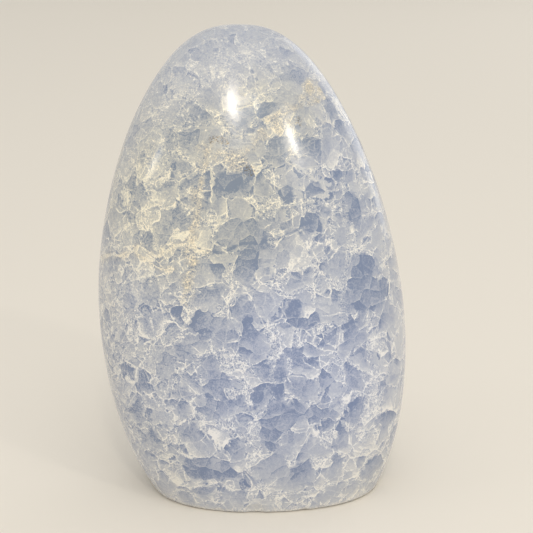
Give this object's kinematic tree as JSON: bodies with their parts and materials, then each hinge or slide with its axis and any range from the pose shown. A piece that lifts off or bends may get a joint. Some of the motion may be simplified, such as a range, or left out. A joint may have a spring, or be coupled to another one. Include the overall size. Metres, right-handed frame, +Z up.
{
  "type": "blue calcite freeform",
  "caption": "Polished egg-shaped freeform of pale blue coarse-grained calcite, standing upright on a flat sawn base as an ornament.",
  "frame": {"origin": "centre of the stone's outer box, on the plane that it stands on", "axes": "+Z up, +X to the right as seen from the broad front, +Y from the front to the back through the thickness"},
  "size_m": [0.086, 0.0602, 0.13],
  "materials": {
    "polished_calcite": "polished"
  },
  "bodies": {
    "root": {"calcite_freeform": "polished_calcite"}
  },
  "joints": []
}
